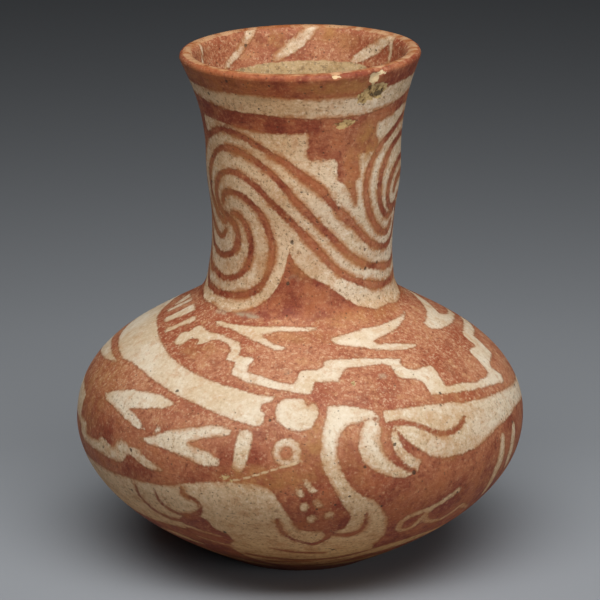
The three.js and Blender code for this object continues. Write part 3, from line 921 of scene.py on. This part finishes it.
RED_SLIP = {"Coat": "#a75838", "Other Coat": "#c07e5a", "Thin Coat": "#ca9166", "Light Grain": "#e8c29c",
            "Dark Grain": "#74361f", "Dark Grains": 0.75}
CREAM_SLIP = {"Coat": "#dfc49f", "Other Coat": "#f0dfc4", "Thin Coat": "#d2a67b", "Thinness": 0.6,
              "Light Grain": "#fbf0de", "Dark Grain": "#94795a"}


def lay_slips(s, slip):
    """The red and the cream slip, each rubbed and clouded, with a ragged edge between them."""
    edge = s.wandering(s.noted("cream"), s.noise(260, 4, 0.65), 1.7)
    edge = s.wandering(edge, s.fine, 1.9)
    s.on_cream = s.fade(edge, -0.4, 0.15)
    red = s.put(slip, {**RED_SLIP, "Thinness": s.fade(s.pure, 0, 1, 0.6, 0.35),
                       "Light Grains": s.fade(s.pure, 0, 1, 0.65, 0.4)})
    cream = s.put(slip, {**CREAM_SLIP, "Light Grains": s.fade(s.specked, 0, 1, 0.4, 0.7),
                         "Dark Grains": s.fade(s.specked, 0, 1, 0.2, 0.9)})
    cream = s.blend(s.fade(edge, -0.1, 0.9, 0.55, 1), red, cream)

    rubbed = s.fade(s.noise(120, 6, 0.7), 0.56, 0.68)
    thick = s.fade(s.noise(95, 6, 0.7), 0.47, 0.34)
    rusty = s.noise(75, 5, 0.65)
    red = s.blend(s.times(thick, 0.5), red, "#8a4226")
    red = s.blend(s.times(rubbed, s.fade(s.pure, 0, 1, 0.5, 0.25)), red, "#cf9a6a")
    red = s.blend(s.times(s.pure, s.fade(rusty, 0.5, 0.62), 0.5), red, "#ae6234")
    red = s.blend(s.times(s.pure, s.fade(rusty, 0.58, 0.4), 0.7), red, "#c48a72", "MULTIPLY")
    cream = s.blend(s.times(rubbed, 0.5), cream, "#cc9a70")
    halo = s.times(s.fade(edge, 2.6, 0.2), s.fade(rusty, 0.42, 0.56), s.fade(s.specked, 0.3, 1, 0.3, 0.85))
    cream = s.blend(halo, cream, "#bd7f4b")

    s.colour = s.blend(s.on_cream, red, cream)
    fringe = s.times(s.fade(edge, -0.9, -0.1), s.fade(edge, 0.6, 0.1))
    s.cover(s.times(fringe, 0.45), "#93592f")


def stain(s):
    """Ochre stains, and the lip's crest where hands rubbed it."""
    ochre = s.times(s.noted("ochre"), s.fade(s.cloudy, 0.35, 0.6, 0.25, 1))
    s.cover(s.times(ochre, 0.85), s.blend(s.fine, "#995a24", "#d6a566"))
    crest = s.times(s.fade(s.level, CREST_ARC - 2.5, CREST_ARC - 0.5),
                    s.fade(s.level, CREST_ARC + 4, CREST_ARC + 1.5))
    crest = s.fade(s.wandering(crest, s.cloudy, 1.4), 0.3, 0.8)
    s.cover(s.times(crest, 0.7), s.blend(s.fade(s.cloudy, 0.38, 0.62), "#b4703f", "#dfb88c"))


def speck(s, pits):
    """Light flecks in the red, dark specks, and open pits. Gives back what has depth."""
    flecks = s.put(pits, {"Spacing mm": 2.2, "Width mm": 0.8, "Share": 0.5})
    s.cover(s.times(flecks, s.less(1.0, s.on_cream), s.fade(s.pure, 0, 1, 0.6, 0.3)), "#e3b78e")
    few = s.times(s.specked, s.fade(s.broad, 0.42, 0.6, 0.12, 0.6))
    specks = s.put(pits, {"Spacing mm": 1.7, "Width mm": 0.62, "Share": few})
    s.cover(s.times(specks, 0.6), "#5d4a35")
    holes = s.put(pits, {"Spacing mm": 7.0, "Width mm": 1.3, "Share": s.times(s.specked, 0.4)})
    s.cover(s.times(holes, 0.8), "#4b3a26")
    return (specks, 0.5), (holes, 1.2)


def flake(s, clay):
    """Pale film, bare clay, flaked places, hollows in painted shade, and the crack. Gives back what has
    depth.
    """
    s.cover(s.times(s.noted("pale"), s.fade(s.cloudy, 0.35, 0.6)), "#b9ab90")
    bare = s.fade(s.wandering(s.noted("bare"), s.cloudy, 0.9), 0.35, 0.65)
    s.cover(bare, s.put(clay, {"Soil": 0.3}))

    broken = s.noise(330, 4, 0.7)
    noted = s.noted("flaked")
    flaked = s.times(s.fade(s.wandering(noted, broken, 3.0), 0.42, 0.55), s.fade(noted, 0.02, 0.2))
    chipped = s.blend(s.fade(broken, 0.38, 0.6), "#85612c", "#d9bf88")
    s.cover(flaked, s.blend(s.fade(s.level, CREST_ARC - 12, CREST_ARC - 7), chipped, "#ecd6ac"))

    # Painted shade: the hollows and the bottoms of the flakes below the lip are darkened.
    noted = s.noted("shaded_hollow")
    shadowed = s.times(flaked, s.fade(broken, 0.47, 0.38), s.fade(s.level, CREST_ARC - 8, CREST_ARC - 12))
    shaded_hollow = s.times(s.wandering(noted, broken, 2.0), s.fade(noted, 0.02, 0.2))
    shaded_hollow = s.fade(s.plus(shaded_hollow, shadowed), 0.4, 0.8)
    s.cover(s.times(shaded_hollow, 0.8), "#3f331f")

    crack = s.fade(s.wandering(s.noted("crack"), s.cloudy, 0.5), -0.75, -0.35)
    s.cover(s.times(crack, 0.8), "#e0c49a")
    return (shaded_hollow, 0.8), (flaked, 0.5)


def darken_with_ageing_and_shade(s):
    """The yellow of ageing and the brown of soil over everything, mixed with painted shade."""
    # Painted shade as well as yellowing: darker on the underside, the low belly, under the lip and the neck's
    # left.
    s.cover(s.fade(s.wandering(s.noted("aged_and_shaded"), s.broad, 0.5), 0, 1), "#eec593", "MULTIPLY")
    # Darker towards the base: soil, and painted shade on the underside.
    s.cover(s.fade(s.wandering(s.noted("soil_and_shade"), s.cloudy, 0.5), 0, 1), "#b5a68c", "MULTIPLY")


def painted_clay(clay, pits, smoothed, slip):
    """Matt red and cream slips over buff clay, rubbed, specked, stained, flaked, and darkened by painted
    shade.
    """
    s = Surface("slip_painted_clay")
    s.level, s.specked = s.noted("level"), s.noted("specked")
    s.broad, s.cloudy, s.fine = s.noise(38, 5, 0.6), s.noise(170, 4, 0.6), s.noise(700, 3, 0.65)
    s.pure = s.times(s.fade(s.specked, 0.3, 1), s.fade(s.level, CREST_ARC + 5, CREST_ARC - 1))
    lay_slips(s, slip)
    stain(s)
    sunken = *speck(s, pits), *flake(s, clay)
    darken_with_ageing_and_shade(s)
    relief = s.plus(s.put(smoothed, {"Grain": 0.5}), s.times(s.on_cream, 0.2))
    for mask, depth in sunken:
        relief = s.less(relief, s.times(mask, depth))
    return s.finish(s.fade(s.cloudy, 0.3, 0.7, 0.62, 0.8), relief)


def bare_clay(clay, pits, smoothed):
    """Unpainted fired clay, for the underside of the base and the deep inside."""
    s = Surface("bare_clay")
    s.colour = s.put(clay, {"Soil": 0.3})
    holes = s.put(pits, {"Spacing mm": 5.0, "Width mm": 1.2, "Share": 0.4})
    s.cover(s.times(holes, 0.6), "#5d4a35")
    relief = s.less(s.put(smoothed, {"Grain": 0.7}), holes)
    return s.finish(s.fade(s.noise(170, 4, 0.6), 0.3, 0.7, 0.74, 0.86), relief)


def leave_bare(mesh, wall, painted, unpainted):
    """Gives the underside of the base and the deep inside their own finish."""
    mesh.materials.clear()
    mesh.materials.append(painted)
    mesh.materials.append(unpainted)
    bare = (wall.arc < -1) | (wall.arc > CREST_ARC + BARE_DEPTH)
    corners = np.zeros(len(mesh.loops), np.int32)
    mesh.loops.foreach_get("vertex_index", corners)
    starts = np.zeros(len(mesh.polygons), np.int32)
    mesh.polygons.foreach_get("loop_start", starts)
    whole = np.logical_and.reduceat(bare[corners], starts)
    mesh.polygons.foreach_set("material_index", whole.astype(np.int32))


def pale_floor(half=8.0):
    """A wide plain pale floor."""
    mesh = bpy.data.meshes.new("floor")
    corners = [(-half, -half, 0), (half, -half, 0), (half, half, 0), (-half, half, 0)]
    mesh.from_pydata(corners, [], [(0, 1, 2, 3)])
    floor = bpy.data.objects.new("floor", mesh)
    material = bpy.data.materials.new("pale_floor")
    material.use_nodes = True
    shader = material.node_tree.nodes["Principled BSDF"]
    shader.inputs["Base Color"].default_value = srgb("#9fa3a8")
    shader.inputs["Roughness"].default_value = 0.9
    mesh.materials.append(material)
    bpy.context.scene.collection.objects.link(floor)


def soft_light(name, azimuth, elevation, distance, size, power, spread):
    """A soft box that looks at the bottle's middle. Spread is the angle that its light fills, in degrees."""
    a, e = math.radians(azimuth), math.radians(elevation)
    away = Vector((math.sin(a) * math.cos(e), -math.cos(a) * math.cos(e), math.sin(e)))
    light = bpy.data.lights.new(name, "AREA")
    light.shape = "RECTANGLE"
    light.size, light.size_y = size
    light.energy, light.spread = power, math.radians(spread)
    lamp = bpy.data.objects.new(name, light)
    lamp.location = away * distance + Vector((0, 0, HEIGHT / 2 * MM))
    lamp.rotation_euler = away.to_track_quat("Z", "Y").to_euler()
    bpy.context.scene.collection.objects.link(lamp)


def studio():
    """A pale floor, a soft box high in front, a weak low one at the right, and plain colours."""
    pale_floor()
    soft_light("overhead_soft_box", azimuth=2, elevation=58, distance=0.95, size=(1.4, 0.45), power=4.15,
               spread=94)
    soft_light("low_reflector", azimuth=34, elevation=10, distance=1.4, size=(0.6, 0.6), power=1.45,
               spread=120)
    world = bpy.data.worlds.new("studio_air")
    world.use_nodes = True
    air = world.node_tree.nodes["Background"]
    air.inputs["Color"].default_value = (0.85, 0.87, 0.9, 1)
    air.inputs["Strength"].default_value = 0.015
    bpy.context.scene.world = world
    bpy.context.scene.view_settings.view_transform = "Standard"


def camera(elevation_deg=16.3, distance=1.85, level=0.116, aim_height=0.1204):
    """The photograph's view: straight at the painted front, from a little above."""
    elevation = math.radians(elevation_deg)
    stand = Vector((0, -math.cos(elevation) * distance, level + math.sin(elevation) * distance))
    lens = bpy.data.cameras.new("camera")
    lens.lens, lens.sensor_width = 238.2, 36
    view = bpy.data.objects.new("camera", lens)
    view.location = stand
    view.rotation_euler = (stand - Vector((0, 0, aim_height))).to_track_quat("Z", "Y").to_euler()
    bpy.context.scene.collection.objects.link(view)
    bpy.context.scene.camera = view


camera()
studio()
effects = fired_clay(), small_pits(), hand_smoothed()
slips, clay = painted_clay(*effects, brushed_slip()), bare_clay(*effects)
bottle = turned_bottle(slips)
wall = wall_of(bottle.data)
damage(bottle.data, wall)
paint(bottle.data, wall)
leave_bare(bottle.data, wall, slips, clay)
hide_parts("bottle")
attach(bottle, "root")
